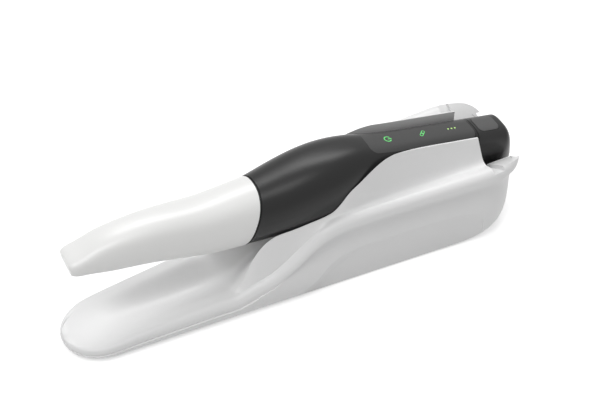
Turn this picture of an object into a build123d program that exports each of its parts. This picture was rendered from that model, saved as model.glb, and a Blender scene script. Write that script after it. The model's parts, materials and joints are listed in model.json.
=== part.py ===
from build123d import *
import math
import os

# Cradle, in millimetres. X runs from the nose (-X) to the stern (+X) and Z is up. The
# origin is the middle of the resting plane, halfway between the nose and the tail cap.
cradle_length = 254.4
tail_overhang = 1.2
nose_half_width = 18.0
stern_half_width = 33.2
parting_height = 40.2
lip_height = 66.5
edge_roll = 4.6
edge_skirt = 1.2
parting_lap = 0.6
shell_wall = 2.6
floor_wall = 2.2
seat_gap = 0.3
foot_height = 0.8
foot_depth = 1.4
foot_radius = 5.0
nose_rounding = 21.0
stern_rounding = 36.0
stern_rake = 9.5
panel_recess = 1.1
crease_height = 27.0
crease_soft = 7.0
overrun = 12.0
nose_exponent = 2.12
stern_exponent = 2.5
parting_steps = 60
outline_steps = 48
trough_steps = 8
flank_steps = 6
roll_steps = 5
trough_exponent = 1.7
hollow_exponent = 2.2
bulge_exponent = 1.8
roll_limit_share = 0.45
lip_clear_share = 1.1
lip_rise_share = 0.5
recess_steps = 10
base_edge = 1.2
scallop_length = 6.5
scallop_depth = 2.5
foot_front_x = -103.0
foot_front_y = 9.0
foot_rear_x = 100.0
foot_rear_y = 19.0
screw_front_x = 8.0
screw_rear_x = 88.0
screw_front_y = 17.0
screw_rear_y = 19.0
screw_head_radius = 2.6
screw_head_height = 1.1
screw_radius = 1.3
screw_length = 12.0
under_pocket_start_x = -2.0
under_pocket_end_x = 38.0
under_pocket_half_width = 13.5
under_pocket_top = 30.0
tail_pocket_start_run = -8.0
tail_pocket_end_run = 42.0
tail_pocket_half_width = 11.0
side_pocket_start_x = 52.0
side_pocket_end_x = 80.0
side_pocket_inner = 14.5
side_pocket_outer = 20.5
side_pocket_top = 44.0
pocket_corner = 2.5

# Handpiece. The handle is straight and slopes down to the rear by its pitch.
handle_pitch = 12.3
handle_even_run = 10.0
handle_even_step = 6.0
handle_even_rows = 5
ring_points = 28
handle_exponent = 3.2
handle_half_width = 10.8
handle_half_height = 14.2
hump_half_width = 18.2
hump_half_height = 19.6
collar_half_width = 15.1
collar_half_height = 17.4
collar_tilt = 20.9
collar_x = -27.4
collar_z = 50.4
handle_start_x = 55.8
handle_start_z = 49.2
seam_run = 46.3
seam_gap = 0.3
cap_run = 27.0
cap_rounding = 9.5
cap_steps = 5
cap_turn_share = 0.9
cap_end_pitch = -14.0
body_wall = 1.5
ring_width = 0.9
ring_inset = 0.5
nest_gap = 0.35
nest_lead = 2.0
tail_gap = 2.8
notch_x = 100.3
notch_half_width = 14.0
notch_height = 35.2

# Sleeve, barrel and optics, along a straight axis that rises to the front.
sleeve_length = 92.6
sleeve_rise = 7.1
sleeve_wall = 1.3
sleeve_seat_gap = 0.1
tip_half_width = 9.0
tip_half_height = 5.1
window_length = 15.0
window_half_width = 6.0
window_thickness = 0.9
window_sink = 0.9
window_ledge = 0.8
window_place_share = 0.857
mirror_run = 80.0
mirror_rise = 1.2
mirror_half_length = 5.0
mirror_half_width = 5.5
mirror_thickness = 1.0
mirror_tilt = 45.0
barrel_length = 66.0
barrel_half_width = 10.2
barrel_half_height = 11.4
barrel_tip_half_width = 7.0
barrel_tip_half_height = 4.6
barrel_wall = 1.0
barrel_exponent = 2.3
ring_exponent = 2.3
spigot_length = 6.0
flange_thickness = 3.0
lens_radius = 3.3
lens_thickness = 2.6
lens_curve_radius = 9.0
lens_seat_depth = 4.0

# Control strip on top of the handle.
panel_start_run = -19.5
power_run = -5.9
link_run = 15.2
dots_run = 33.4
panel_end_gap = 1.2
panel_half_width = 8.2
panel_thickness = 1.0
panel_corner = 4.0
light_depth = 0.6
symbol_radius = 2.1
symbol_stroke = 0.6
power_gap = 1.8
power_bar = 2.1
power_bar_offset = 1.26
link_length = 3.0
link_width = 1.9
link_stroke = 0.4
link_shift = 1.0
link_turn = 45.0
dot_radius = 0.5
dot_pitch = 2.1
dot_turn = 45.0
fit_gap = 0.05

# Battery pack, its cell and the release button.
pack_run = 54.0
pack_gap = 0.3
pack_top = 8.4
cell_radius = 7.9
cell_length = 65.0
cell_drop = 2.6
case_wall = 0.9
button_run = 8.4
button_half_length = 6.4
button_half_width = 5.7
button_corner = 3.0
button_thickness = 2.2
button_flange = 0.8
button_flange_thickness = 0.9
button_travel = 1.0
button_gap = 0.15
button_stand = 0.15
spring_radius = 2.0
spring_wire_radius = 0.175
spring_well_radius = 2.6
spring_turns = 3
spring_height = 2.4

# Chassis, boards and modules inside the handpiece.
deck_bottom = 8.9
deck_thickness = 0.9
board_thickness = 1.0
bulkhead_thickness = 2.0
rear_bulkhead_run = -14.0
rear_bulkhead_place_share = 0.835
deck_end_run = 44.0
deck_half_width = 7.4
control_board_start_run = -11.5
control_board_end_run = 43.0
control_board_half_width = 6.6
led_half_size = 0.8
led_height = 1.6
bench_start = 2.0
bench_end = 50.0
bench_half_width = 10.0
bench_drop = 5.2
bench_thickness = 1.8
light_hole_half_width = 5.5
light_hole_half_height = 4.5
rail_start_x = 20.0
rail_end_x = 43.5
rail_half_width = 5.0
rail_bottom = 39.9
rail_top = 41.9
ledge_bottom = 60.7
board_bottom = 62.5
front_ledge_start_x = -18.5
front_ledge_end_x = -4.0
rear_ledge_start_x = 31.0
rear_ledge_end_x = 45.2
ledge_half_width = 7.0
board_start_x = -12.0
board_end_x = 38.0
board_half_width = 7.6
board_screw_inset = 3.0
board_screw_y = 5.6
board_screw_radius = 0.7
board_screw_head_radius = 1.3
board_screw_head_height = 0.9
board_screw_depth = 1.4
chip_start_x = 2.0
chip_length = 10.0
chip_half_width = 5.0
chip_height = 1.4
radio_start_x = 18.0
radio_length = 9.0
radio_half_width = 4.0
radio_height = 1.8
splitter_start = 9.0
splitter_size = 10.0
camera_start = 8.0
camera_end = 20.0
camera_half_width = 6.0
camera_top = 10.0
projector_start = 21.0
projector_end = 41.0
projector_half_width = 7.0
projector_top = 7.0
projector_snout_radius = 4.0
projector_snout_length = 1.7
contact_radius = 0.8
contact_offset = 4.0
contact_plate_half_size = 1.5
contact_plate_thickness = 0.4
contact_clearance = 0.15

nose_x = -(cradle_length + tail_overhang) / 2
stern_x = nose_x + cradle_length

# Rows along the cradle: place from nose to stern, parting line as a share of its height
# at the rear, and how much of the full edge roll the edge has there.
edge_shares = [
    (0.00, 0.115, 0.55),
    (0.06, 0.125, 0.60),
    (0.12, 0.150, 0.70),
    (0.20, 0.168, 0.85),
    (0.27, 0.183, 0.98),
    (0.31, 0.187, 1.00),
    (0.34, 0.195, 1.00),
    (0.365, 0.250, 1.00),
    (0.39, 0.312, 1.00),
    (0.42, 0.390, 1.00),
    (0.46, 0.590, 1.00),
    (0.51, 0.860, 1.00),
    (0.55, 0.965, 1.00),
    (0.60, 1.000, 1.00),
    (0.80, 1.000, 1.00),
    (1.00, 0.985, 1.00),
]

# Rows along the cradle: place, lip offset as a share of the half-width, lip and trough
# heights as shares of the lip height, how round the trough is, how convex the flank is,
# and how far the flank dips below the edge, as a share of the edge roll.
surface_shares = [
    (0.00, 0.70, 0.105, 0.105, 1.0, 0.0, 0.0),
    (0.06, 0.74, 0.127, 0.122, 1.0, 0.0, 0.0),
    (0.12, 0.75, 0.148, 0.110, 1.0, 0.0, 0.0),
    (0.20, 0.73, 0.176, 0.098, 1.0, 0.0, 0.0),
    (0.27, 0.72, 0.198, 0.096, 1.0, 0.0, 0.0),
    (0.31, 0.72, 0.202, 0.112, 1.0, 0.0, 0.0),
    (0.34, 0.71, 0.214, 0.138, 0.8, 0.2, 0.0),
    (0.365, 0.66, 0.330, 0.172, 0.4, 0.5, 0.0),
    (0.39, 0.635, 0.500, 0.226, 0.1, 0.5, 0.0),
    (0.42, 0.664, 0.622, 0.304, 0.0, 0.5, 0.0),
    (0.46, 0.690, 0.653, 0.406, 0.0, 0.5, 0.0),
    (0.51, 0.692, 0.671, 0.541, 0.0, 0.4, 0.0),
    (0.548, 0.685, 0.690, 0.700, 0.0, 0.2, 0.1),
    (0.568, 0.660, 0.750, 1.0, 0.0, 0.1, 0.2),
    (0.582, 0.630, 0.865, 1.0, 0.0, 0.0, 0.3),
    (0.597, 0.598, 0.929, 1.0, 0.0, 0.0, 0.4),
    (0.617, 0.550, 0.973, 1.0, 0.0, 0.0, 0.5),
    (0.640, 0.505, 0.995, 1.0, 0.0, 0.0, 0.6),
    (0.663, 0.466, 1.000, 1.0, 0.0, 0.0, 0.7),
    (0.714, 0.415, 0.974, 1.0, 0.0, 0.0, 0.7),
    (0.769, 0.398, 0.935, 1.0, 0.0, 0.0, 0.7),
    (0.860, 0.384, 0.860, 1.0, 0.0, 0.0, 0.7),
    (1.000, 0.372, 0.745, 1.0, 0.0, 0.0, 0.7),
]

# Places of the sections that the upper shell is lofted through, from nose to stern.
nose_place_shares = [0.003, 0.02, 0.07, 0.16, 0.3, 0.5, 0.75, 1.0]
middle_place_shares = [
    0.12, 0.17, 0.22, 0.27, 0.31, 0.335, 0.36, 0.385, 0.41, 0.435, 0.46, 0.49, 0.52, 0.54,
    0.558, 0.576, 0.594, 0.612, 0.635, 0.66, 0.69, 0.72, 0.755, 0.79, 0.825, 0.8585,
]
stern_place_shares = [0.2, 0.4, 0.58, 0.72, 0.83, 0.91, 0.96, 0.985]

# Rows along the side of the base: place, crease height as a share of the crease height,
# and how much of the full recess the panel below it has there.
crease_shares = [
    (0.455, 0.00, 1.00),
    (0.466, 0.04, 1.00),
    (0.509, 0.393, 1.00),
    (0.553, 0.774, 1.00),
    (0.596, 0.956, 1.00),
    (0.682, 0.985, 1.00),
    (0.753, 0.996, 0.85),
    (0.820, 1.007, 0.45),
    (0.880, 1.010, -0.10),
]

# The recess's edge seen in section: height from the crease as a share of the crease's
# softness, and depth as a share of the recess.
recess_shares = [
    (0.28, -0.60),
    (0.08, -0.08),
    (-0.20, 0.32),
    (-0.55, 0.80),
    (-1.00, 1.00),
]

# The cut beside the tail seen from the rear: offset and height as shares of the cut's
# half-width and of its height at the middle.
notch_shares = [
    (1.00, 1.00),
    (1.36, 1.122),
    (1.79, 1.25),
    (2.20, 1.335),
    (3.40, 1.36),
]

# Levels of the base's outline, the first at its floor: height as a share of the parting
# height, inset beyond the lap as a share of the base's edge, and share of the stern's rake.
base_level_shares = [
    (0.000, 1.00, 1.00),
    (0.050, 0.15, 0.97),
    (0.500, 0.00, 0.36),
    (1.050, 0.00, -0.03),
]

# Rows along the front of the handpiece, from the collar to the start of the handle:
# place, centre height above the handle's axis start as a share of the hump's half-height,
# half-width and half-height as shares of the hump's, tilt from the handle's pitch to the
# collar's as a share, and the exponent that squares the section.
body_shares = [
    (0.00, 0.061, 0.830, 0.888, 1.00, 2.30),
    (0.135, 0.107, 0.918, 0.939, 0.90, 2.30),
    (0.279, 0.163, 0.978, 0.985, 0.78, 2.35),
    (0.423, 0.194, 1.000, 1.000, 0.66, 2.40),
    (0.555, 0.189, 0.962, 0.980, 0.52, 2.45),
    (0.687, 0.184, 0.840, 0.895, 0.31, 2.60),
    (0.835, 0.153, 0.692, 0.748, 0.00, 3.00),
    (0.965, 0.033, 0.621, 0.727, 0.00, 3.15),
]

# Rows along the sleeve, from the collar to the tip: place, centre height between the
# collar's and the tip's as a share, half-width as a share between the tip's and the
# collar's, half-height the same way, tilt as a share of the collar's, and the exponent.
sleeve_shares = [
    (0.00, 0.00, 1.00, 1.00, 1.00, 2.30),
    (0.13, 0.04, 0.90, 0.88, 0.72, 2.30),
    (0.27, 0.18, 0.76, 0.77, 0.45, 2.35),
    (0.41, 0.50, 0.62, 0.70, 0.25, 2.40),
    (0.56, 0.82, 0.46, 0.60, 0.10, 2.50),
    (0.70, 0.97, 0.32, 0.48, 0.00, 2.60),
    (0.82, 1.02, 0.18, 0.32, -0.10, 2.70),
    (0.93, 1.00, 0.04, 0.06, -0.20, 2.80),
    (0.98, 0.99, -0.08, -0.04, -0.25, 2.80),
    (1.00, 0.98, -0.26, -0.12, -0.25, 2.80),
]


def read(rows, place, column):
    """Read a column of a share table at a place, eased through its rows."""
    if place <= rows[0][0]:
        return rows[0][column]
    if place >= rows[-1][0]:
        return rows[-1][column]
    index = max(i for i in range(len(rows) - 1) if rows[i][0] <= place)

    def slope(i):
        low = rows[max(i - 1, 0)]
        high = rows[min(i + 1, len(rows) - 1)]
        return (high[column] - low[column]) / (high[0] - low[0])

    start, end = rows[index], rows[index + 1]
    span = end[0] - start[0]
    t = (place - start[0]) / span
    return (
        (2 * t**3 - 3 * t**2 + 1) * start[column]
        + (t**3 - 2 * t**2 + t) * span * slope(index)
        + (3 * t**2 - 2 * t**3) * end[column]
        + (t**3 - t**2) * span * slope(index + 1)
    )


def between(start, end, share):
    return start + (end - start) * share


def place_of(x):
    return (x - nose_x) / cradle_length


def side_line(x):
    """Half-width of the straight, tapered side of the cradle."""
    return between(nose_half_width, stern_half_width, place_of(x))


def rounded_end(depth_share, exponent):
    """Share of the full width left at a share of the way into a rounded end."""
    return max(1 - max(depth_share, 0) ** exponent, 0) ** (1 / exponent)


def plan_half_width(x, inset=0, rake=0):
    """Half-width of the outline at x, drawn in by an inset and by a rake at the stern."""
    nose_depth = nose_x + inset + nose_rounding - x
    stern_depth = x - stern_x + inset + rake + stern_rounding
    nose = rounded_end(nose_depth / nose_rounding, nose_exponent)
    stern = rounded_end(stern_depth / stern_rounding, stern_exponent)
    return (side_line(x) - inset) * nose * stern


def parting_z(x):
    return parting_height * read(edge_shares, place_of(x), 1)


def superellipse(half_width, half_height, exponent, lower=False):
    """Points of a rounded section about its centre, whole or only its lower half."""
    turns = math.pi if lower else 2 * math.pi
    steps = ring_points // 2 if lower else ring_points
    points = []
    for i in range(steps + 1 if lower else steps):
        angle = math.pi + turns * i / steps
        c, s = math.cos(angle), math.sin(angle)
        across = math.copysign(abs(c) ** (2 / exponent), c) * half_width
        up = math.copysign(abs(s) ** (2 / exponent), s) * half_height
        points.append((across, up))
    return points


# Upper shell of the cradle

def section_points(x, front_drop):
    """Half of the cradle's section at x, from the middle of the trough to the parting."""
    place = place_of(x)
    half = plan_half_width(x)
    roll = edge_roll * read(edge_shares, place, 2)
    roll_width = min(roll, half * roll_limit_share)
    skirt = edge_skirt * read(edge_shares, place, 2)
    parting = parting_z(x)
    roll_height = roll * front_drop
    shoulder = parting + skirt * front_drop + roll_height
    sunk = roll - roll_height + skirt * (1 - front_drop)
    lip_y = min(half * read(surface_shares, place, 1), half - roll_width * lip_clear_share)
    lip_z = max(
        lip_height * read(surface_shares, place, 2) - sunk,
        parting + roll_height * lip_rise_share,
    )
    trough_z = min(lip_height * read(surface_shares, place, 3) - sunk, lip_z)
    if front_drop < 1:
        lip_z = shoulder
        trough_z = min(trough_z, shoulder)
    roundness = read(surface_shares, place, 4)
    convex = read(surface_shares, place, 5)
    dip = edge_roll * read(surface_shares, place, 6)
    trough = []
    for i in range(trough_steps + 1):
        t = i / trough_steps
        wave = (1 - math.cos(math.pi * t)) / 2
        share = between(t**trough_exponent, wave, roundness)
        trough.append((lip_y * t, between(trough_z, lip_z, share)))
    flank = []
    run = half - roll_width - lip_y
    for i in range(1, flank_steps + 1):
        t = i / flank_steps
        hollow = (1 - t) ** hollow_exponent
        bulge = 1 - t**bulge_exponent
        fall = between(hollow, bulge, convex)
        sag = dip * math.sin(math.pi * t) ** 2
        flank.append((lip_y + run * t, shoulder + (lip_z - shoulder) * fall - sag))
    edge = []
    for i in range(1, roll_steps + 1):
        angle = math.pi / 2 * i / roll_steps
        edge.append((
            half - roll_width + roll_width * math.sin(angle),
            shoulder - roll_height + roll_height * math.cos(angle),
        ))
    foot = (half, 0)
    return trough, flank, edge, foot


def section_wire(x, front_drop=1.0):
    trough, flank, edge, foot = section_points(x, front_drop)

    def at(point, side):
        return (x, side * point[0], point[1])

    across = [at(p, -1) for p in reversed(trough)] + [at(p, 1) for p in trough[1:]]
    pieces = [Spline(*across)]
    for side in (1, -1):
        flank_points = [at(trough[-1], side)] + [at(p, side) for p in flank]
        edge_points = [flank_points[-1]] + [at(p, side) for p in edge]
        pieces.append(Spline(*flank_points))
        pieces.append(Spline(*edge_points))
        pieces.append(Line(edge_points[-1], at(foot, side)))
    pieces.append(Line(at(foot, -1), at(foot, 1)))
    return Wire(pieces)


def upper_hull():
    wires = []
    for share in nose_place_shares:
        inward = nose_rounding * share
        roll = edge_roll * read(edge_shares, 0, 2)
        drop_share = 1 - min(inward / roll, 1)
        wires.append(section_wire(nose_x + inward, math.sqrt(1 - drop_share**2)))
    for share in middle_place_shares:
        wires.append(section_wire(nose_x + cradle_length * share))
    for share in stern_place_shares:
        inward = stern_rounding * (1 - share)
        drop_share = 1 - min(inward / edge_roll, 1)
        wires.append(section_wire(stern_x - inward, math.sqrt(1 - drop_share**2)))
    return Solid.make_loft(wires)


# Frames and plain blocks. Every frame's X runs rearward and down by its pitch.

def frame_at(x, z, pitch):
    slope = math.radians(pitch)
    return Plane(
        origin=(x, 0, z),
        x_dir=(math.cos(slope), 0, -math.sin(slope)),
        z_dir=(math.sin(slope), 0, math.cos(slope)),
    )


handle = frame_at(handle_start_x, handle_start_z, handle_pitch)
collar = frame_at(collar_x, collar_z, collar_tilt)
optics = frame_at(collar_x, collar_z, math.degrees(math.atan2(sleeve_rise, sleeve_length)))


def block(frame, start, end, half_width, bottom, top):
    """Box in a frame, symmetric about the middle plane."""
    middle = Pos((start + end) / 2, 0, (bottom + top) / 2)
    return frame.location * middle * Box(end - start, 2 * half_width, top - bottom)


def rounded_block(frame, start, end, half_width, bottom, top, corner):
    """Block with rounded upright edges."""
    outline = Pos((start + end) / 2, 0) * RectangleRounded(end - start, 2 * half_width, corner)
    return frame.location * Pos(0, 0, bottom) * extrude(outline, top - bottom)


def ring_wire(frame, run, half_width, half_height, exponent):
    points = superellipse(half_width, half_height, exponent)
    return Wire(Spline(*[frame.from_local_coords((run, a, b)) for a, b in points], periodic=True))


# Hulls of the handpiece

def body_station(place):
    """Section of the housing at a place from the collar to the handle's start."""
    rise, wide, high, tilt, exponent = [read(body_shares, place, k) for k in range(1, 6)]
    x = between(collar_x, handle_start_x, place)
    z = handle_start_z + hump_half_height * rise
    frame = frame_at(x, z, between(handle_pitch, collar_tilt, tilt))
    return (frame, 0, hump_half_width * wide, hump_half_height * high, exponent)


def body_place(run):
    """Place that lies a run behind the collar."""
    return run / (handle_start_x - collar_x)


def body_stations():
    """Sections from the collar to the end of the first even rows of the handle."""
    stations = [body_station(row[0]) for row in body_shares]
    for i in range(handle_even_rows):
        run = handle_even_run + i * handle_even_step
        stations.append((handle, run, handle_half_width, handle_half_height, handle_exponent))
    return stations


def hull(stations, inset=0, front_reach=0, rear_reach=0):
    """Loft through stations, thinner by an inset and longer by a reach at either end."""
    rows = list(stations)
    if front_reach:
        frame, run, wide, high, exponent = rows[0]
        rows.insert(0, (frame, run - front_reach, wide, high, exponent))
    if rear_reach:
        frame, run, wide, high, exponent = rows[-1]
        rows.append((frame, run + rear_reach, wide, high, exponent))
    wires = []
    for frame, run, wide, high, exponent in rows:
        wires.append(ring_wire(frame, run, wide - inset, high - inset, exponent))
    return Solid.make_loft(wires)


def sleeve_station(place):
    """Section of the sleeve at a place from the collar to the tip."""
    rise, wide, high, tilt, exponent = [read(sleeve_shares, place, k) for k in range(1, 6)]
    frame = frame_at(
        collar_x - sleeve_length * place,
        collar_z + sleeve_rise * rise,
        collar_tilt * tilt,
    )
    half_width = between(tip_half_width, collar_half_width, wide)
    half_height = between(tip_half_height, collar_half_height, high)
    return (frame, 0, half_width, half_height, exponent)


def sleeve_stations():
    return [sleeve_station(row[0]) for row in reversed(sleeve_shares)]


def spigot(front_reach=0, rear_reach=0):
    """Plug that fills the sleeve's mouth with a small gap."""
    rows = [sleeve_station(spigot_length / sleeve_length), sleeve_station(0)]
    return hull(rows, sleeve_wall + seat_gap, front_reach, rear_reach)


def cap_stations(grow=0):
    """Rounded end of the tail cap, which turns upright behind its straight part."""
    stations = []
    for i in range(cap_steps + 1):
        angle = math.pi / 2 * i / cap_steps * cap_turn_share
        drop = cap_rounding * (1 - math.cos(angle))
        run = seam_run + cap_run - cap_rounding * (1 - math.sin(angle))
        middle = handle.from_local_coords((run + grow, 0, 0))
        stations.append((
            frame_at(middle.X, middle.Z, between(handle_pitch, cap_end_pitch, i / cap_steps)),
            0,
            handle_half_width - drop + grow,
            handle_half_height - drop + grow,
            handle_exponent,
        ))
    return stations


def handle_bar(start, end, grow=0):
    """Straight length of the handle's section."""
    rows = [
        (handle, start, handle_half_width + grow, handle_half_height + grow, handle_exponent),
        (handle, end, handle_half_width + grow, handle_half_height + grow, handle_exponent),
    ]
    return hull(rows)


def body_hull(inset=0, front_reach=0, rear_reach=0):
    stations = body_stations()
    front = hull(stations, inset, front_reach)
    return front + handle_bar(stations[-1][1], seam_run + rear_reach, -inset)


def cap_hull(grow=0):
    straight_end = seam_run + cap_run - cap_rounding + grow
    return handle_bar(seam_run + seam_gap, straight_end, grow) + hull(cap_stations(grow))


# Cradle

def below_parting():
    """Everything below the parting line, as one wide prism."""
    side = stern_half_width + overrun
    start, end = nose_x - overrun, stern_x + overrun
    points = []
    for i in range(parting_steps + 1):
        x = between(start, end, i / parting_steps)
        points.append((x, -side, parting_z(x)))
    low_end = (end, -side, -overrun)
    low_start = (start, -side, -overrun)
    edges = [
        Spline(*points),
        Line(points[-1], low_end),
        Line(low_end, low_start),
        Line(low_start, points[0]),
    ]
    return extrude(Face(Wire(edges)), 2 * side, dir=(0, 1, 0))


def outline_wire(z, inset, rake):
    start = nose_x + inset
    end = stern_x - inset - rake
    points = []
    for i in range(outline_steps):
        angle = 2 * math.pi * i / outline_steps
        x = between(start, end, (1 - math.cos(angle)) / 2)
        half = plan_half_width(x, inset, rake)
        points.append((x, math.copysign(half, math.sin(angle)), z))
    return Wire(Spline(*points, periodic=True))


def base_loft(inset, floor):
    """Body of the base's plan, thinner by an inset and starting at a floor height."""
    _, edge, rake = base_level_shares[0]
    wires = [outline_wire(floor, inset + base_edge * edge, stern_rake * rake)]
    for height, edge, rake in base_level_shares[1:]:
        if parting_height * height > floor:
            wires.append(outline_wire(
                parting_height * height, inset + base_edge * edge, stern_rake * rake
            ))
    return Solid.make_loft(wires)


def u_wire(frame, run, half_width, half_height, exponent):
    """Open-topped channel section, closed far above the cradle."""
    lower = superellipse(half_width, half_height, exponent, lower=True)
    points = [frame.from_local_coords((run, a, b)) for a, b in lower]
    right = frame.from_local_coords((run, half_width, lip_height))
    left = frame.from_local_coords((run, -half_width, lip_height))
    edges = [Spline(*points), Line(points[-1], right), Line(right, left), Line(left, points[0])]
    return Wire(edges)


def nest_channel():
    """Channel that the handpiece rests in, from the collar to behind the tail."""
    stations = body_stations()
    frame, run, wide, high, exponent = stations[0]
    stations.insert(0, (frame, run - nest_lead, wide, high, exponent))
    front = []
    for frame, run, wide, high, exponent in stations:
        front.append(u_wire(frame, run, wide + nest_gap, high + nest_gap, exponent))
    half = handle_half_width + nest_gap
    drop = handle_half_height + nest_gap
    end = seam_run + cap_run + overrun
    rear = [u_wire(handle, start, half, drop, handle_exponent) for start in (run, end)]
    return [Solid.make_loft(front), Solid.make_loft(rear)]


def tail_channel():
    """Wider channel around the tail cap, open to the stern."""
    half = handle_half_width + tail_gap
    drop = handle_half_height + 2 * nest_gap
    end = seam_run + cap_run + overrun
    wires = [u_wire(handle, run, half, drop, handle_exponent) for run in (seam_run / 2, end)]
    return Solid.make_loft(wires) & block(
        Plane.XY, notch_x, stern_x + overrun, half + overrun, -overrun, 2 * lip_height
    )


def notch_cut(start, end, drop):
    """Cut across the walls beside the tail, with its sides rising outward."""
    points = []
    for offset, height in notch_shares:
        points.append((start, notch_half_width * offset, notch_height * height - drop))
    mirrored = [(x, -y, z) for x, y, z in reversed(points)]
    top = 2 * lip_height
    right = (start, points[-1][1], top)
    left = (start, -points[-1][1], top)
    edges = [
        Spline(*mirrored),
        Line(mirrored[-1], points[0]),
        Spline(*points),
        Line(points[-1], right),
        Line(right, left),
        Line(left, mirrored[0]),
    ]
    return extrude(Face(Wire(edges)), end - start, dir=(1, 0, 0))


def tail_cuts():
    end = stern_x + overrun
    return [
        tail_channel(),
        notch_cut(notch_x, end, 0),
        notch_cut(notch_x, notch_x + scallop_length, scallop_depth),
    ]


def screw_points():
    return [
        (x, side * y)
        for x, y in ((screw_front_x, screw_front_y), (screw_rear_x, screw_rear_y))
        for side in (-1, 1)
    ]


def foot_points():
    return [
        (x, side * y)
        for x, y in ((foot_front_x, foot_front_y), (foot_rear_x, foot_rear_y))
        for side in (-1, 1)
    ]


def post(x, y, bottom, top, radius):
    """Upright cylinder."""
    return Pos(x, y, (bottom + top) / 2) * Cylinder(radius, top - bottom)


def pockets():
    """Hollows in the underside of the upper shell."""
    floor = foot_height
    drop = handle_half_height + nest_gap + shell_wall
    tools = [
        rounded_block(
            Plane.XY, under_pocket_start_x, under_pocket_end_x, under_pocket_half_width,
            floor, under_pocket_top, pocket_corner,
        ),
        rounded_block(
            handle, tail_pocket_start_run, tail_pocket_end_run, tail_pocket_half_width,
            -handle_start_z, -drop, pocket_corner,
        ),
    ]
    middle = (side_pocket_inner + side_pocket_outer) / 2
    half = (side_pocket_outer - side_pocket_inner) / 2
    for side in (-1, 1):
        tools.append(Pos(0, side * middle, 0) * rounded_block(
            Plane.XY, side_pocket_start_x, side_pocket_end_x, half,
            floor, side_pocket_top, pocket_corner,
        ))
    return tools


def cradle_top_solid():
    inside = base_loft(parting_lap + shell_wall + seat_gap, foot_height + floor_wall + seat_gap)
    top = foot_height + floor_wall + screw_length
    tools = [below_parting() - inside] + nest_channel() + tail_cuts() + pockets()
    tools += [post(x, y, 0, top, screw_radius + fit_gap) for x, y in screw_points()]
    return upper_hull() - tools


def recess_wire(x, side):
    place = place_of(x)
    height = crease_height * read(crease_shares, place, 1)
    depth = panel_recess * read(crease_shares, place, 2)
    half = side_line(x) - parting_lap
    edge = []
    for rise, share in recess_shares:
        edge.append((x, side * (half - depth * share), height + crease_soft * rise))
    foot = (x, side * (half - depth), -overrun)
    outer_top = (x, side * (half + overrun), edge[0][2])
    outer_foot = (x, side * (half + overrun), -overrun)
    return Wire([
        Spline(*edge),
        Line(edge[-1], foot),
        Line(foot, outer_foot),
        Line(outer_foot, outer_top),
        Line(outer_top, edge[0]),
    ])


def cradle_base_solid():
    tools = [base_loft(parting_lap + shell_wall, foot_height + floor_wall)] + tail_cuts()
    start, end = [nose_x + cradle_length * crease_shares[i][0] for i in (0, -1)]
    for side in (-1, 1):
        tools.append(Solid.make_loft([
            recess_wire(between(start, end, i / recess_steps), side)
            for i in range(recess_steps + 1)
        ]))
    head_top = foot_height + screw_head_height
    for x, y in screw_points():
        tools.append(post(x, y, 0, floor_wall + overrun, screw_radius + fit_gap))
        tools.append(post(x, y, 0, head_top, screw_head_radius + fit_gap))
    for x, y in foot_points():
        tools.append(post(x, y, 0, foot_depth, foot_radius + fit_gap))
    return (base_loft(parting_lap, foot_height) & below_parting()) - tools


def cradle_feet_solids():
    return [post(x, y, 0, foot_depth, foot_radius) for x, y in foot_points()]


def cradle_screw_solids():
    head_top = foot_height + screw_head_height
    screws = []
    for x, y in screw_points():
        head = post(x, y, foot_height, head_top, screw_head_radius)
        screws.append(head + post(x, y, head_top, foot_height + screw_length, screw_radius))
    return screws


# Sleeve

def sleeve_underside(place):
    """Lowest point of the sleeve's section at a place."""
    frame, _, _, half_height, _ = sleeve_station(place)
    return frame.from_local_coords((0, 0, -half_height))


def window_frame():
    """Frame on the underside of the tip, with Z into the sleeve."""
    reach = window_length / sleeve_length / 2
    rear = sleeve_underside(window_place_share - reach)
    front = sleeve_underside(window_place_share + reach)
    pitch = math.degrees(math.atan2(front.Z - rear.Z, rear.X - front.X))
    return frame_at((front.X + rear.X) / 2, (front.Z + rear.Z) / 2, pitch)


def mirror_frame():
    point = optics.from_local_coords((-mirror_run, 0, mirror_rise))
    return frame_at(point.X, point.Z, -mirror_tilt)


def sleeve_solid():
    span = sleeve_length / 2
    frame = window_frame()
    half_length = window_length / 2
    inner = window_sink + window_thickness
    cavity = hull(sleeve_stations()[2:], sleeve_wall, 0, overrun)
    floor_end = half_length + shell_wall
    cavity = cavity - [
        block(mirror_frame(), -span, span, span, mirror_thickness, span),
        block(frame, -floor_end, floor_end, span, -span, inner + window_ledge),
    ]
    ledge_end = half_length - window_ledge
    ledge_side = window_half_width - window_ledge
    seat = -(ring_width + sleeve_seat_gap)
    pocket_end = half_length + fit_gap
    pocket_side = window_half_width + fit_gap
    tools = [
        block(collar, seat, span, span, -span, span),
        cavity,
        block(frame, -pocket_end, pocket_end, pocket_side, -overrun / 2, inner),
        block(frame, -ledge_end, ledge_end, ledge_side, 0, inner + 2 * window_ledge),
    ]
    return hull(sleeve_stations()) - tools


def sleeve_window_solid():
    half = window_length / 2
    inner = window_sink + window_thickness
    return block(window_frame(), -half, half, window_half_width, window_sink, inner)


def tip_mirror_solid():
    half = mirror_half_length
    return block(mirror_frame(), -half, half, mirror_half_width, 0, mirror_thickness)


# Optics

def rod(frame, start, end, radius, across=0, up=0):
    """Cylinder along a frame's X."""
    middle = Pos((start + end) / 2, across, up) * Rot(0, 90, 0)
    return frame.location * middle * Cylinder(radius, end - start)


def barrel_wire(run, inset):
    share = -run / barrel_length
    wide = between(barrel_half_width, barrel_tip_half_width, share)
    high = between(barrel_half_height, barrel_tip_half_height, share)
    return ring_wire(optics, run, wide - inset, high - inset, barrel_exponent)


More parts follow.
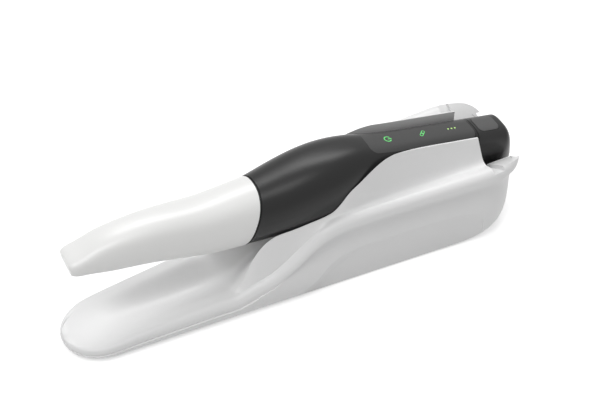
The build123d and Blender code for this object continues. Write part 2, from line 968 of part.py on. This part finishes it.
def barrel_solid():
    span = collar_half_height + overrun
    tube = Solid.make_loft([barrel_wire(-barrel_length, 0), barrel_wire(overrun, 0)])
    tube = tube - block(collar, flange_thickness / 2, span, span, -span, span)
    flange = bulkhead(0, flange_thickness)
    bore = Solid.make_loft([
        barrel_wire(lens_seat_depth - barrel_length, barrel_wall),
        barrel_wire(overrun, barrel_wall),
    ])
    lens_bore = rod(optics, -barrel_length - overrun, 0, lens_radius + fit_gap)
    return spigot() + [flange, tube] - [bore, lens_bore]


def objective_lens_solid():
    middle = -barrel_length + lens_seat_depth / 2
    reach = lens_curve_radius - lens_thickness / 2
    front = Pos(reach, 0, 0) * Sphere(lens_curve_radius)
    rear = Pos(-reach, 0, 0) * Sphere(lens_curve_radius)
    blank = Rot(0, 90, 0) * Cylinder(lens_radius, lens_seat_depth)
    return optics.location * Pos(middle, 0, 0) * (blank & front & rear)


def beam_splitter_solid():
    end = splitter_start + splitter_size
    top = splitter_size - bench_drop
    return block(optics, splitter_start, end, splitter_size / 2, -bench_drop, top)


def camera_solid():
    bottom = splitter_size - bench_drop
    return block(optics, camera_start, camera_end, camera_half_width, bottom, camera_top)


def projector_solid():
    body = block(
        optics, projector_start, projector_end, projector_half_width, -bench_drop, projector_top
    )
    snout = rod(
        optics, projector_start - projector_snout_length, projector_start, projector_snout_radius
    )
    return body + snout


# Chassis and boards

def bulkhead(place, thickness):
    """Plate across the housing from a place rearward."""
    rows = [body_station(place), body_station(place + body_place(thickness))]
    return hull(rows, body_wall + seat_gap)


def chassis_solid():
    world = Plane.XY
    hole = block(
        optics, -overrun, overrun, light_hole_half_width, -light_hole_half_height,
        light_hole_half_height,
    )
    members = [
        bulkhead(rear_bulkhead_place_share, bulkhead_thickness),
        block(
            optics, bench_start, bench_end, bench_half_width, -bench_drop - bench_thickness,
            -bench_drop,
        ),
        block(world, rail_start_x, rail_end_x, rail_half_width, rail_bottom, rail_top),
        block(
            handle, rear_bulkhead_run, deck_end_run, deck_half_width, deck_bottom,
            deck_bottom + deck_thickness,
        ),
    ]
    ledges = ((front_ledge_start_x, front_ledge_end_x), (rear_ledge_start_x, rear_ledge_end_x))
    for start, end in ledges:
        members.append(block(world, start, end, ledge_half_width, ledge_bottom, board_bottom))
    bottom = board_bottom - board_screw_depth
    holes = [
        post(x, y, bottom, board_bottom, board_screw_radius + fit_gap)
        for x, y in board_screw_points()
    ]
    front = bulkhead(body_place(flange_thickness), bulkhead_thickness)
    return front + members - [hole] - holes


def board_screw_points():
    return [
        (x, side * board_screw_y)
        for x in (board_start_x + board_screw_inset, board_end_x - board_screw_inset)
        for side in (-1, 1)
    ]


def main_board_solid():
    top = board_bottom + board_thickness
    holes = [
        post(x, y, board_bottom, top, board_screw_radius + fit_gap)
        for x, y in board_screw_points()
    ]
    board = block(
        Plane.XY, board_start_x, board_end_x, board_half_width, board_bottom, top
    )
    return board - holes


def chassis_screw_solids():
    top = board_bottom + board_thickness
    screws = []
    for x, y in board_screw_points():
        head = post(x, y, top, top + board_screw_head_height, board_screw_head_radius)
        shank = post(x, y, board_bottom - board_screw_depth, top, board_screw_radius)
        screws.append(head + shank)
    return screws


def on_board(start, length, half_width, height):
    bottom = board_bottom + board_thickness
    return block(Plane.XY, start, start + length, half_width, bottom, bottom + height)


def control_board_solid():
    bottom = deck_bottom + deck_thickness
    return block(
        handle, control_board_start_run, control_board_end_run, control_board_half_width,
        bottom, bottom + board_thickness,
    )


def dot_runs():
    return [dots_run - dot_pitch, dots_run, dots_run + dot_pitch]


def led_solids():
    bottom = deck_bottom + deck_thickness + board_thickness
    leds = []
    for run in [power_run, link_run] + dot_runs():
        leds.append(block(
            handle, run - led_half_size, run + led_half_size, led_half_size,
            bottom, bottom + led_height,
        ))
    return leds


# Control strip

def panel_block(grow=0):
    return rounded_block(
        handle, panel_start_run - grow, seam_run - panel_end_gap + grow,
        panel_half_width + grow, 0, 2 * hump_half_height, panel_corner + grow,
    )


def power_sketch():
    ring = Circle(symbol_radius) - Circle(symbol_radius - symbol_stroke)
    ring = ring - Pos(symbol_radius, 0) * Rectangle(2 * symbol_radius, power_gap)
    bar = Pos(power_bar_offset, 0) * Rectangle(power_bar, symbol_stroke)
    return ring + bar


def link_sketch():
    link = SlotOverall(link_length, link_width)
    link = link - SlotOverall(link_length - 2 * link_stroke, link_width - 2 * link_stroke)
    return Rot(0, 0, link_turn) * (Pos(-link_shift, 0) * link + Pos(link_shift, 0) * link)


def light_tool(sketch, run):
    """Upright prism through the handle's top in a symbol's outline."""
    return handle.location * Pos(run, 0, 0) * extrude(sketch, 2 * handle_half_height)


def light_tools():
    dot = Rot(0, 0, dot_turn) * Circle(dot_radius)
    dots = [light_tool(dot, run) for run in dot_runs()]
    return {
        "power_light": [light_tool(power_sketch(), power_run)],
        "link_light": [light_tool(link_sketch(), link_run)],
        "battery_lights": dots,
    }


def handpiece_skin():
    """Housing, control strip and lights, which share the housing's outer surface."""
    outer = body_hull()
    window = outer & panel_block(fit_gap)
    recess = window - body_hull(panel_thickness)
    shell = outer - [body_hull(body_wall, overrun, overrun), recess]
    inlay = window - body_hull(light_depth)
    skin = {"body_shell": [shell]}
    inlaid = []
    for name, tools in light_tools().items():
        skin[name] = [inlay & tool for tool in tools]
        inlaid += skin[name]
    skin["control_panel"] = [(recess & panel_block()) - inlaid]
    return skin


def collar_ring_solid():
    wide = collar_half_width - ring_inset
    high = collar_half_height - ring_inset
    runs = (-ring_width, 0)
    wires = [ring_wire(collar, run, wide, high, ring_exponent) for run in runs]
    return Solid.make_loft(wires) - spigot(overrun, overrun)


# Battery

def button_ends(grow=0):
    middle = seam_run + button_run
    return middle - button_half_length - grow, middle + button_half_length + grow


def button_block(grow, bottom, top):
    start, end = button_ends(grow)
    return rounded_block(
        handle, start, end, button_half_width + grow, bottom, top, button_corner + grow
    )


def button_bottom():
    return handle_half_height + button_stand - button_thickness


def release_button_solid():
    bottom = button_bottom()
    top = button_block(0, bottom, 2 * handle_half_height) & cap_hull(button_stand)
    return top + button_block(button_flange, bottom - button_flange_thickness, bottom)


def contact_plates():
    start = seam_run - pack_run
    plates = []
    for side in (-1, 1):
        size = contact_plate_half_size
        plate = Pos(0, side * contact_offset, 0) * block(
            handle, start, start + contact_plate_thickness, size, -size, size
        )
        plates.append(plate)
    return plates


def battery_case_solid():
    start = seam_run - pack_run
    end = seam_run + seam_gap
    span = handle_half_height
    case = handle_bar(start, end, -(body_wall + pack_gap))
    case = case & block(handle, start, end, span, -span, pack_top)
    case = case + cap_hull()
    cell_start = start + 2 * case_wall
    case = case - rod(
        handle, cell_start, cell_start + cell_length, cell_radius + fit_gap, up=-cell_drop
    )
    bottom = button_bottom()
    flange_bottom = bottom - button_flange_thickness
    chamber_floor = flange_bottom - button_travel - button_gap
    well = Pos(seam_run + button_run, 0, flange_bottom - spring_height / 2)
    tools = contact_plates() + [
        button_block(button_flange + button_gap, chamber_floor, bottom + fit_gap),
        button_block(button_gap, bottom, 2 * handle_half_height),
        handle.location * well * Cylinder(spring_well_radius, spring_height),
    ]
    return case - tools


def battery_cell_solid():
    start = seam_run - pack_run + 2 * case_wall
    return rod(handle, start, start + cell_length, cell_radius, up=-cell_drop)


def release_spring_solid():
    height = spring_height - 2 * spring_wire_radius
    path = Helix(height / spring_turns, height, spring_radius)
    start = Plane(origin=path @ 0, z_dir=path % 0)
    coil = sweep(start * Circle(spring_wire_radius), path=path)
    flange_bottom = button_bottom() - button_flange_thickness
    base = Pos(seam_run + button_run, 0, flange_bottom - spring_height + spring_wire_radius)
    return handle.location * base * coil


def bay_contact_solids():
    start = rear_bulkhead_run + bulkhead_thickness
    end = seam_run - pack_run - contact_clearance
    return [rod(handle, start, end, contact_radius, side * contact_offset) for side in (-1, 1)]


def all_parts():
    parts = {
        "cradle_top": [cradle_top_solid()],
        "cradle_base": [cradle_base_solid()],
        "cradle_feet": cradle_feet_solids(),
        "cradle_screws": cradle_screw_solids(),
        "collar_ring": [collar_ring_solid()],
        "sleeve": [sleeve_solid()],
        "sleeve_window": [sleeve_window_solid()],
        "tip_mirror": [tip_mirror_solid()],
        "optics_barrel": [barrel_solid()],
        "objective_lens": [objective_lens_solid()],
        "beam_splitter": [beam_splitter_solid()],
        "camera_module": [camera_solid()],
        "projector_module": [projector_solid()],
        "chassis": [chassis_solid()],
        "main_board": [main_board_solid()],
        "processor": [on_board(chip_start_x, chip_length, chip_half_width, chip_height)],
        "radio_module": [on_board(radio_start_x, radio_length, radio_half_width, radio_height)],
        "chassis_screws": chassis_screw_solids(),
        "control_board": [control_board_solid()],
        "panel_leds": led_solids(),
        "bay_contacts": bay_contact_solids(),
        "battery_case": [battery_case_solid()],
        "battery_cells": [battery_cell_solid()],
        "battery_contacts": contact_plates(),
        "release_button": [release_button_solid()],
        "release_spring": [release_spring_solid()],
    }
    parts.update(handpiece_skin())
    return parts


os.makedirs("parts", exist_ok=True)
for node, solids in all_parts().items():
    pieces = [piece for solid in solids for piece in solid.solids()]
    shape = pieces[0] if len(pieces) == 1 else Compound(children=pieces)
    export_step(shape, f"parts/{node}.step")
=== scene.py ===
import json
import math

import bpy
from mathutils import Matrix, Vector

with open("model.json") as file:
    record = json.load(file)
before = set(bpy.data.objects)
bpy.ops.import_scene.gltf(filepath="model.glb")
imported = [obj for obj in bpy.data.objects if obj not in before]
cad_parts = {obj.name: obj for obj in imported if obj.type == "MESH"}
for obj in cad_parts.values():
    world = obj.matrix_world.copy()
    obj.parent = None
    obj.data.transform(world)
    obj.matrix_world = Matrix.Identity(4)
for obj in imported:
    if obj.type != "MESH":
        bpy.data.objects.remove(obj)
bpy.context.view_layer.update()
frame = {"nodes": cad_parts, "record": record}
nodes = frame["nodes"]


# Camera, fitted to the photograph's perspective: metres, degrees, and millimetres for the lens.
TARGET = Vector((0.00343, 0.0, 0.04342))
DISTANCE = 0.70577
AZIMUTH = -26.99
ELEVATION = 45.0
LENS = 84.0
SENSOR = 36.0
CLIP_START = 0.05
CLIP_END = 20

# Lamps: name, azimuth and elevation in degrees, width and height in metres, power in watts.
LAMP_DISTANCE = 1.5
LAMPS = (
    ("key_softbox", -75, 58, 0.5, 0.5, 4.8),
    ("back_softbox", 150, 58, 1.0, 0.4, 9.5),
    ("top_softbox", -30, 72, 0.6, 0.6, 4.2),
)

# Background: what the camera sees, and the softer light that it gives the object.
WHITE = (1, 1, 1, 1)
SEEN_STRENGTH = 1.0
SOFT_STRENGTH = 0.35

# Floor: size in metres, and how much its paper is lifted towards white.
FLOOR_SIZE = 8.0
FLOOR_LIFT = 0.48
FLOOR_COLOR = (0.80, 0.80, 0.80)
FLOOR_ROUGHNESS = 0.8
FLOOR_GRAIN = 60
FLOOR_DEPTH = 0.01

# Every surface: fine noise for the bump, broad noise for patches of roughness and colour.
FINE_DETAIL = 3.0
BROAD_SCALE = 18.0
BROAD_DETAIL = 4.0
BUMP_STRENGTH = 0.25
TINT_SHARE = 0.96
LEAST_ROUGHNESS = 0.02
MM_PER_METRE = 1000

# Each kind of surface: grain is the fine noise's scale, depth is in millimetres, and spread
# is how far the roughness strays from its value.
PLASTIC_GRAIN = 900.0
PLASTIC_DEPTH = 0.02
PLASTIC_SPREAD = 0.05
PLASTIC_SPECULAR = 0.5
METAL_GRAIN = 700.0
METAL_DEPTH = 0.015
METAL_SPREAD = 0.07
METAL_LEVEL = 1.0
GLASS_DEPTH = 0.002
GLASS_SPREAD = 0.01
GLASS_TRANSMISSION = 0.85
GLASS_IOR = 1.5
LIT_ROUGHNESS = 0.35

# Plastics and rubber: colour, roughness, and where they differ grain, depth and specular level.
PLASTICS = {
    "shell_white": ((0.83, 0.83, 0.83), 0.40, 1400, 0.008),
    "sleeve_white": ((0.84, 0.84, 0.83), 0.30, 1600, 0.006),
    "housing_dark": ((0.014, 0.014, 0.014), 0.33, 1500, 0.012, 0.3),
    "strip_dark": ((0.048, 0.048, 0.048), 0.45, 1800, 0.01, 0.35),
    "cap_dark": ((0.014, 0.014, 0.014), 0.33, 1500, 0.014, 0.35),
    "button_dark": ((0.062, 0.062, 0.062), 0.42, 1500, 0.012),
    "seal_black": ((0.014, 0.014, 0.015), 0.55, 1200, 0.02),
    "feet_rubber": ((0.12, 0.12, 0.125), 0.80, 900, 0.05),
    "module_black": ((0.035, 0.035, 0.04), 0.6),
    "board_green": ((0.02, 0.14, 0.07), 0.35),
    "chip_black": ((0.03, 0.03, 0.032), 0.5),
    "cell_wrap": ((0.10, 0.24, 0.5), 0.3),
}

# Light guides: colour and strength of the glow.
LIGHTS = {
    "symbol_light": ((0.09, 0.52, 0.13), 0.5),
    "dot_light": ((0.38, 0.62, 0.18), 0.55),
    "lamp_white": ((1.0, 0.98, 0.9), 0.5),
}

# Glass: colour and roughness.
GLASSES = {
    "window_glass": ((0.95, 0.97, 0.98), 0.03),
    "lens_glass": ((0.85, 0.92, 0.98), 0.03),
    "prism_glass": ((0.92, 0.94, 0.95), 0.04),
}

# Metals: colour and roughness.
METALS = {
    "tip_silver": ((0.92, 0.92, 0.93), 0.08),
    "barrel_metal": ((0.16, 0.16, 0.17), 0.42),
    "frame_metal": ((0.62, 0.63, 0.65), 0.35),
    "can_steel": ((0.66, 0.67, 0.68), 0.3),
    "screw_steel": ((0.6, 0.6, 0.61), 0.3),
    "contact_gold": ((0.85, 0.62, 0.25), 0.25),
    "spring_steel": ((0.55, 0.55, 0.56), 0.3),
}


def aim(thing, azimuth, elevation, distance):
    """Puts a camera or a lamp at its distance from the target and turns it to the target."""
    turn = math.radians(azimuth)
    rise = math.radians(elevation)
    back = Vector((
        math.sin(turn) * math.cos(rise),
        -math.cos(turn) * math.cos(rise),
        math.sin(rise),
    ))
    thing.location = TARGET + back * distance
    thing.rotation_mode = "QUATERNION"
    thing.rotation_quaternion = (-back).to_track_quat("-Z", "Y")


def add_camera():
    data = bpy.data.cameras.new("photo_camera")
    data.lens = LENS
    data.sensor_width = SENSOR
    data.clip_start = CLIP_START
    data.clip_end = CLIP_END
    camera = bpy.data.objects.new("photo_camera", data)
    bpy.context.scene.collection.objects.link(camera)
    aim(camera, AZIMUTH, ELEVATION, DISTANCE)
    bpy.context.scene.camera = camera


def add_lamp(name, azimuth, elevation, width, height, power):
    data = bpy.data.lights.new(name, "AREA")
    data.shape = "RECTANGLE"
    data.size = width
    data.size_y = height
    data.energy = power
    lamp = bpy.data.objects.new(name, data)
    bpy.context.scene.collection.objects.link(lamp)
    aim(lamp, azimuth, elevation, LAMP_DISTANCE)
    lamp.visible_camera = False


def set_sockets(node, **sockets):
    """Sets sockets by name; an underscore stands for a space in a socket's name."""
    for name, value in sockets.items():
        node.inputs[name.replace("_", " ")].default_value = value


def add_node(tree, kind, **sockets):
    node = tree.nodes.new(kind)
    set_sockets(node, **sockets)
    return node


def seen_directly(tree):
    """1 for rays that show the background itself, in the camera, in a gloss or through glass."""
    path = add_node(tree, "ShaderNodeLightPath")
    level = path.outputs["Is Camera Ray"]
    for kind in ("Is Glossy Ray", "Is Transmission Ray"):
        more = add_node(tree, "ShaderNodeMath")
        more.operation = "MAXIMUM"
        tree.links.new(level, more.inputs[0])
        tree.links.new(path.outputs[kind], more.inputs[1])
        level = more.outputs[0]
    return level


def add_world():
    """White where it is seen directly, and a softer light on the object."""
    world = bpy.data.worlds.new("studio")
    bpy.context.scene.world = world
    world.use_nodes = True
    tree = world.node_tree
    tree.nodes.clear()
    seen = add_node(tree, "ShaderNodeBackground", Color=WHITE, Strength=SEEN_STRENGTH)
    soft = add_node(tree, "ShaderNodeBackground", Color=WHITE, Strength=SOFT_STRENGTH)
    mix = add_node(tree, "ShaderNodeMixShader")
    out = add_node(tree, "ShaderNodeOutputWorld")
    tree.links.new(seen_directly(tree), mix.inputs[0])
    tree.links.new(soft.outputs[0], mix.inputs[1])
    tree.links.new(seen.outputs[0], mix.inputs[2])
    tree.links.new(mix.outputs[0], out.inputs["Surface"])


def add_noise(tree, scale, detail):
    """Noise fixed to the object's own coordinates."""
    place = add_node(tree, "ShaderNodeTexCoord")
    noise = add_node(tree, "ShaderNodeTexNoise", Scale=scale, Detail=detail)
    tree.links.new(place.outputs["Object"], noise.inputs["Vector"])
    return noise.outputs["Fac"]


def add_patches(tree, shader, color, roughness, spread):
    """Soft patches in the roughness and the colour."""
    broad = add_noise(tree, BROAD_SCALE, BROAD_DETAIL)
    patch = add_node(
        tree,
        "ShaderNodeMapRange",
        To_Min=max(roughness - spread, LEAST_ROUGHNESS),
        To_Max=roughness + spread,
    )
    tree.links.new(broad, patch.inputs["Value"])
    tree.links.new(patch.outputs["Result"], shader.inputs["Roughness"])
    darker = [channel * TINT_SHARE for channel in color]
    tint = add_node(tree, "ShaderNodeMixRGB", Color1=(*color, 1), Color2=(*darker, 1))
    tree.links.new(broad, tint.inputs["Fac"])
    tree.links.new(tint.outputs["Color"], shader.inputs["Base Color"])


def add_grain(tree, shader, grain, depth):
    """Fine grain in the bump."""
    distance = depth / MM_PER_METRE
    bump = add_node(tree, "ShaderNodeBump", Strength=BUMP_STRENGTH, Distance=distance)
    tree.links.new(add_noise(tree, grain, FINE_DETAIL), bump.inputs["Height"])
    tree.links.new(bump.outputs["Normal"], shader.inputs["Normal"])


def surface(name, color, roughness, grain, depth, spread, **sockets):
    """Material with patches and grain, and with what its kind sets on the shader."""
    material = bpy.data.materials.new(name)
    material.use_nodes = True
    tree = material.node_tree
    shader = tree.nodes["Principled BSDF"]
    set_sockets(shader, Roughness=roughness, **sockets)
    add_patches(tree, shader, color, roughness, spread)
    add_grain(tree, shader, grain, depth)
    return material


def plastic(
    name, color, roughness, grain=PLASTIC_GRAIN, depth=PLASTIC_DEPTH, specular=PLASTIC_SPECULAR
):
    return surface(
        name, color, roughness, grain, depth, PLASTIC_SPREAD, Specular_IOR_Level=specular
    )


def lit(name, color, strength):
    """Light guide with a glow."""
    return surface(
        name,
        color,
        LIT_ROUGHNESS,
        PLASTIC_GRAIN,
        PLASTIC_DEPTH,
        PLASTIC_SPREAD,
        Emission_Color=(*color, 1),
        Emission_Strength=strength,
    )


def glass(name, color, roughness):
    return surface(
        name,
        color,
        roughness,
        PLASTIC_GRAIN,
        GLASS_DEPTH,
        GLASS_SPREAD,
        Transmission_Weight=GLASS_TRANSMISSION,
        IOR=GLASS_IOR,
    )


def metal(name, color, roughness):
    return surface(
        name, color, roughness, METAL_GRAIN, METAL_DEPTH, METAL_SPREAD, Metallic=METAL_LEVEL
    )


def make_materials():
    """Every slot's material, by its name."""
    materials = {}
    for make, table in ((plastic, PLASTICS), (lit, LIGHTS), (glass, GLASSES), (metal, METALS)):
        for name, row in table.items():
            materials[name] = make(name, *row)
    return materials


def dress_frame():
    """Gives every CAD node the material of its slot."""
    materials = make_materials()
    slots = {row["node"]: row["material_slot"] for row in frame["record"]["subparts"]}
    for name, node in nodes.items():
        node.data.materials.clear()
        node.data.materials.append(materials[slots[name]])


def floor_paper():
    """Pale paper that shows as white where no shadow falls on it."""
    material = plastic("floor_paper", FLOOR_COLOR, FLOOR_ROUGHNESS, FLOOR_GRAIN, FLOOR_DEPTH)
    tree = material.node_tree
    glow = add_node(tree, "ShaderNodeEmission")
    level = add_node(tree, "ShaderNodeMath")
    level.operation = "MULTIPLY"
    level.inputs[1].default_value = FLOOR_LIFT
    tree.links.new(seen_directly(tree), level.inputs[0])
    tree.links.new(level.outputs[0], glow.inputs["Strength"])
    both = add_node(tree, "ShaderNodeAddShader")
    tree.links.new(tree.nodes["Principled BSDF"].outputs[0], both.inputs[0])
    tree.links.new(glow.outputs[0], both.inputs[1])
    tree.links.new(both.outputs[0], tree.nodes["Material Output"].inputs["Surface"])
    return material


def add_floor():
    bpy.ops.mesh.primitive_plane_add(size=FLOOR_SIZE, location=(0, 0, 0))
    floor = bpy.context.object
    floor.name = "studio_floor"
    floor.data.materials.append(floor_paper())


dress_frame()
add_floor()
add_camera()
add_world()
for lamp in LAMPS:
    add_lamp(*lamp)

scene = bpy.context.scene
scene.view_settings.view_transform = "Standard"
